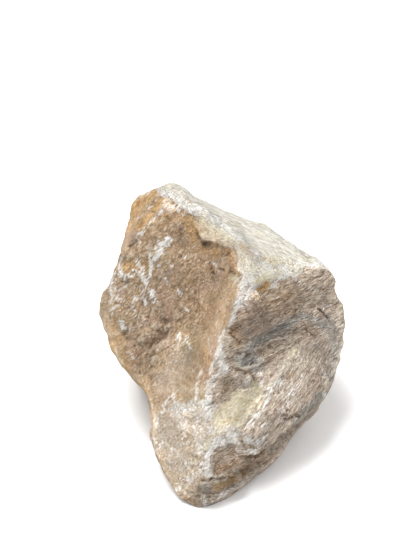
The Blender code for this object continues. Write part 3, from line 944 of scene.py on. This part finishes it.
def colour(red, green, blue):
    """A colour of the stone as the studio shows it, sRGB 0 to 255, as the socket's colour."""
    parts = [part / 255 for part in (red, green, blue)]
    linear = [part / 12.92 if part < 0.04045 else ((part + 0.055) / 1.055) ** 2.4
              for part in parts]
    return tuple(part / EXPOSURE for part in linear) + (1,)


def stone_material():
    material = bpy.data.materials.new("calcite_looks")
    n = Nodes(material)
    mm = n.scaled(n.add("ShaderNodeTexCoord").outputs["Object"], 1 / MM)

    def along(axis, sizes, *settings):
        """Noise drawn out along that axis."""
        return n.noise(n.turned(mm, axis, sizes), 1.0, *settings)

    def streaks(*settings):
        """Noise drawn out along the fibres, whichever way they run."""
        return n.mix(n.mask("belly"), along(FIBRES, *settings), along(BELLY_FIBRES, *settings))

    def thin_lines(pattern, half_width):
        """1 along the lines where the pattern is at its middle."""
        return n.remap(n.math("ABSOLUTE", n.math("SUBTRACT", pattern, 0.5)), half_width, 0.0)

    def layered(under, *layers):
        """The colours laid over each other, each with how much of it shows."""
        for share, over in layers:
            under = n.mix(share, under, over)
        return under

    # The patterns of the stone.
    fibres = streaks((1.0, 1.0, 6.5), 2, 0.6, 0.6)
    beds = streaks((7, 7, 26), 5, 0.65, 0.6)
    splits = thin_lines(streaks((3.0, 3.0, 13), 3, 0.6, 0.5), 0.030)
    top_fibres = along(TOP_FIBRES, (1.2, 1.2, 20), 3, 0.65, 0.3)
    scratches = along(CRUST_GRAIN, (0.8, 0.8, 3.6), 3, 0.75, 0.8)
    mottle = n.noise(mm, 16.0, 6, 0.68)
    clods = along(CRUST_GRAIN, (2.6, 2.6, 5.0), 5, 0.75, 0.5)
    grain = n.noise(mm, 1.2, 3, 0.75)
    tears = along(CRUST_GRAIN, (1.6, 1.6, 6.0), 4, 0.7, 0.2)
    breaks = n.remap(n.mix(0.4, tears, n.noise(mm, 3.4, 4, 0.7)), 0.34, 0.66)
    specks = along(CRUST_GRAIN, (0.8, 0.8, 1.7), 2, 0.6)
    crust_dust = along(CRUST_GRAIN, (0.7, 0.7, 2.8), 1, 0.5)
    dust = n.mix(n.mask("crust"), streaks((0.75, 0.75, 4.0), 1, 0.5), crust_dust)
    dust = n.mix(n.mask("cream"), dust, along(TOP_FIBRES, (0.75, 0.75, 5.0), 1, 0.5))
    hairs = thin_lines(n.noise(mm, 7.0, 3, 0.55, 1.2), 0.012)
    nicks = thin_lines(along(CRUST_GRAIN, (3.0, 3.0, 8.0), 4, 0.6, 0.8), 0.018)
    nicks = n.times(nicks, n.remap(n.noise(mm, 4.0, 2, 0.5), 0.50, 0.58))
    smooth = n.mask("smooth")
    busy = n.remap(n.noise(mm, 6.0, 3, 0.6, 0.5), 0.40, 0.58, 0.35, 1.0)
    rough = n.times(n.math("SUBTRACT", 1.0, smooth), busy)
    bent = n.warped(mm, 3.0, 1.0)
    flake_reach, flakes = n.cells(n.turned(bent, CRUST_GRAIN, (1.2, 1.2, 3.2)))
    ways = [n.cells(n.turned(bent, axis, (1.0, 1.0, 4.6))) for axis in (FIBRES, BELLY_FIBRES)]
    splinter_reach, splinters = [n.mix(n.mask("belly"), *pair) for pair in zip(*ways)]
    tick_reach, ticks = n.cells(n.turned(n.warped(mm, 5.0, 1.5), CRUST_GRAIN, (1.5, 1.5, 4.6)))
    tick = n.times(n.remap(tick_reach, 0.36, 0.16), rough)
    shards = n.mix(n.mask("crust"), splinters, flakes)
    shard_reach = n.mix(n.mask("crust"), splinter_reach, flake_reach)
    hue = n.noise(mm, 30.0, 4, 0.6)
    tatters = n.mix(0.35, breaks, n.remap(shards, 0.25, 0.75))

    # The kinds of stone and the stains.
    fibre = layered(
        n.mix(n.remap(beds, 0.36, 0.64), colour(162, 138, 120), colour(202, 184, 166)),
        (n.remap(mottle, 0.52, 0.66, 0, 0.7), colour(222, 210, 194)),
        (n.remap(fibres, 0.53, 0.68), colour(236, 224, 206)),
        (n.remap(fibres, 0.48, 0.33), colour(98, 80, 66)),
        (n.times(splits, 0.6), colour(84, 68, 56)),
    )
    crust = layered(
        n.mix(n.remap(mottle, 0.38, 0.62), colour(156, 126, 92), colour(190, 161, 125)),
        (n.remap(clods, 0.54, 0.68, 0, 0.6), colour(212, 190, 160)),
        # Painted shade: the crust made darker where its clods sink, as in the bump's crevices.
        (n.times(n.remap(clods, 0.46, 0.32, 0, 0.9), rough), colour(112, 88, 64)),
        (n.remap(scratches, 0.43, 0.30, 0, 0.9), colour(100, 76, 54)),
        (n.remap(scratches, 0.58, 0.70, 0, 0.9), colour(234, 213, 184)),
        (n.remap(hue, 0.52, 0.62, 0, 0.6), colour(184, 152, 130)),
        (n.remap(hue, 0.48, 0.38, 0, 0.6), colour(168, 144, 108)),
        (n.times(tick, n.remap(ticks, 0.34, 0.28)), colour(84, 63, 44)),
        (n.times(tick, n.remap(ticks, 0.68, 0.74, 0, 0.8)), colour(236, 220, 196)),
        (n.times(nicks, rough), colour(80, 60, 44)),
    )
    cream = layered(
        n.mix(n.remap(top_fibres, 0.34, 0.60), colour(190, 182, 163), colour(237, 234, 224)),
        (n.remap(mottle, 0.5, 0.7, 0, 0.4), colour(222, 208, 176)),
    )
    # Faces that look down: the fibres' colours made darker, as painted shade.
    under = layered(
        n.mix(n.remap(beds, 0.36, 0.64), colour(140, 118, 100), colour(192, 174, 156)),
        (n.remap(fibres, 0.48, 0.28), colour(92, 76, 62)),
    )
    slate = n.mix(n.remap(fibres, 0.35, 0.65), colour(110, 107, 102), colour(174, 171, 165))
    rust = n.mix(n.remap(clods, 0.38, 0.62), colour(178, 136, 84), colour(224, 184, 128))
    amber = n.mix(n.remap(clods, 0.4, 0.6), colour(218, 203, 168), colour(240, 232, 210))
    chalk = n.mix(n.remap(tears, 0.36, 0.54), colour(204, 196, 182), colour(247, 245, 241))
    soil_and_shadow_cover = n.remap(n.math("ADD", n.mask("soil_and_shadow"), tatters), 0.9, 1.5, 0, 0.9)
    chalky = n.remap(n.math("ADD", n.mask("chalk"), tatters), 0.86, 1.46)

    base = layered(
        fibre,
        (n.torn("crust", breaks, 0.6, 0.35, 0.65), crust),
        (n.times(n.remap(shards, 0.52, 0.30, 0, 0.34), rough), colour(110, 88, 68)),
        (n.times(n.remap(shards, 0.56, 0.76, 0, 0.38), rough), colour(236, 218, 192)),
        (n.torn("cream", breaks, 0.6, 0.35, 0.65), cream),
        (n.torn("under", breaks, 0.6, 0.35, 0.65), under),
        (n.torn("slate", breaks, 0.7, 0.25, 0.85), slate),
        (n.torn("rust", breaks, 0.7, 0.2, 1.2), rust),
        # Soft brown stains, partly painted shade under the ledge and the brow.
        (n.times(n.mask("umber_and_shade"), 0.6), colour(146, 108, 74)),
        # Painted shade: the hollows of the skin made darker.
        (n.times(n.mask("hollow_shade"), 0.7), colour(104, 82, 62)),
        (n.torn("film", breaks, 0.5, 0.1, 1.4), colour(226, 216, 202)),
        (n.torn("amber", breaks, 0.7, 0.2, 0.9), amber),
        # Dark soil, and painted shadow lines under the ledge, the brow and the scar.
        (soil_and_shadow_cover, colour(92, 68, 46)),
        (n.times(n.mask("worn"), 0.5), colour(232, 222, 204)),
        (n.times(hairs, 0.6), colour(228, 214, 190)),
        (n.times(chalky, n.remap(smooth, 0, 1, 0.94, 0.7)), chalk),
        (n.remap(specks, 0.38, 0.26, 0, 0.7), colour(88, 70, 54)),
        (n.remap(specks, 0.62, 0.74, 0, 0.6), colour(240, 230, 212)),
    )
    dusty, worn_dusty = [n.remap(dust, 0.3, 0.7, 1 - reach, 1 + reach) for reach in (0.33, 0.21)]
    # Lighter or darker as the broad strokes say: partly stains, partly painted light and shade.
    lightness = n.times(n.mix(smooth, dusty, worn_dusty), n.math("ADD", n.mask("tone_light_and_shade"), 1.0))
    n.tree.links.new(n.scaled(base, lightness), n.shader.inputs["Base Color"])

    gloss = n.remap(n.math("ADD", n.mask("amber"), n.mask("cream")), 0.2, 1.2, 0.9, 0.65)
    n.tree.links.new(gloss, n.shader.inputs["Roughness"])
    n.shader.inputs["Specular IOR Level"].default_value = 0.3

    height = n.mix(n.mask("crust"), fibres, scratches)
    height = n.mix(n.mask("cream"), height, top_fibres)
    height = n.mix(0.25, height, grain)
    height = n.mix(n.times(n.mask("crust"), 0.3), height, clods)
    height = n.mix(n.times(rough, 0.16), height, n.math("SUBTRACT", 1.0, shard_reach))
    bump = n.add("ShaderNodeBump", {"Height": height, "Strength": 1.0, "Distance": 0.003})
    n.tree.links.new(bump.outputs["Normal"], n.shader.inputs["Normal"])
    return material


skin.data.materials.clear()
skin.data.materials.append(stone_material())
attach(skin, "root")
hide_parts(NODE)


def add_floor():
    """A pale, plain floor."""
    bm = bmesh.new()
    bmesh.ops.create_grid(bm, x_segments=2, y_segments=2, size=FLOOR_REACH)
    floor_mesh = bpy.data.meshes.new("floor")
    bm.to_mesh(floor_mesh)
    bm.free()
    floor = bpy.data.objects.new("floor", floor_mesh)
    bpy.context.scene.collection.objects.link(floor)
    paint = bpy.data.materials.new("pale_floor")
    paint.use_nodes = True
    shader = paint.node_tree.nodes["Principled BSDF"]
    shader.inputs["Base Color"].default_value = (0.9, 0.9, 0.9, 1)
    shader.inputs["Roughness"].default_value = 0.9
    floor_mesh.materials.append(paint)


def add_lamp(name, place, size, power):
    """A square softbox that looks at the stone."""
    lamp = bpy.data.lights.new(name, "AREA")
    lamp.size = size
    lamp.energy = power
    holder = bpy.data.objects.new(name, lamp)
    bpy.context.scene.collection.objects.link(holder)
    holder.location = place
    holder.rotation_euler = (Vector(place) - LAMPS_AIM).to_track_quat("Z", "Y").to_euler()


def add_sky():
    """Even white light from all round."""
    world = bpy.data.worlds.new("studio")
    world.use_nodes = True
    sky = world.node_tree.nodes["Background"]
    sky.inputs["Color"].default_value = (1, 1, 1, 1)
    sky.inputs["Strength"].default_value = SKY_STRENGTH
    bpy.context.scene.world = world


def add_camera():
    """A camera at the pitch, that sees the drawing's plane as the photograph shows it."""
    camera = bpy.data.cameras.new("camera")
    camera.sensor_fit = "VERTICAL"
    camera.sensor_height = 24.0
    camera.lens = camera.sensor_height * DISTANCE / VIEW_HEIGHT
    holder = bpy.data.objects.new("camera", camera)
    bpy.context.scene.collection.objects.link(holder)
    sine, cosine = math.sin(PITCH), math.cos(PITCH)
    across, up = LOOK_AT
    target = Vector((across, up * sine, up * cosine)) + Vector(ORIGIN)
    toward = Vector((0, -cosine, sine))
    holder.location = (target + toward * DISTANCE) * MM
    holder.rotation_euler = toward.to_track_quat("Z", "Y").to_euler()
    bpy.context.scene.camera = holder


add_floor()
for lamp in LAMPS:
    add_lamp(*lamp)
add_sky()
add_camera()
bpy.context.scene.view_settings.view_transform = "Standard"
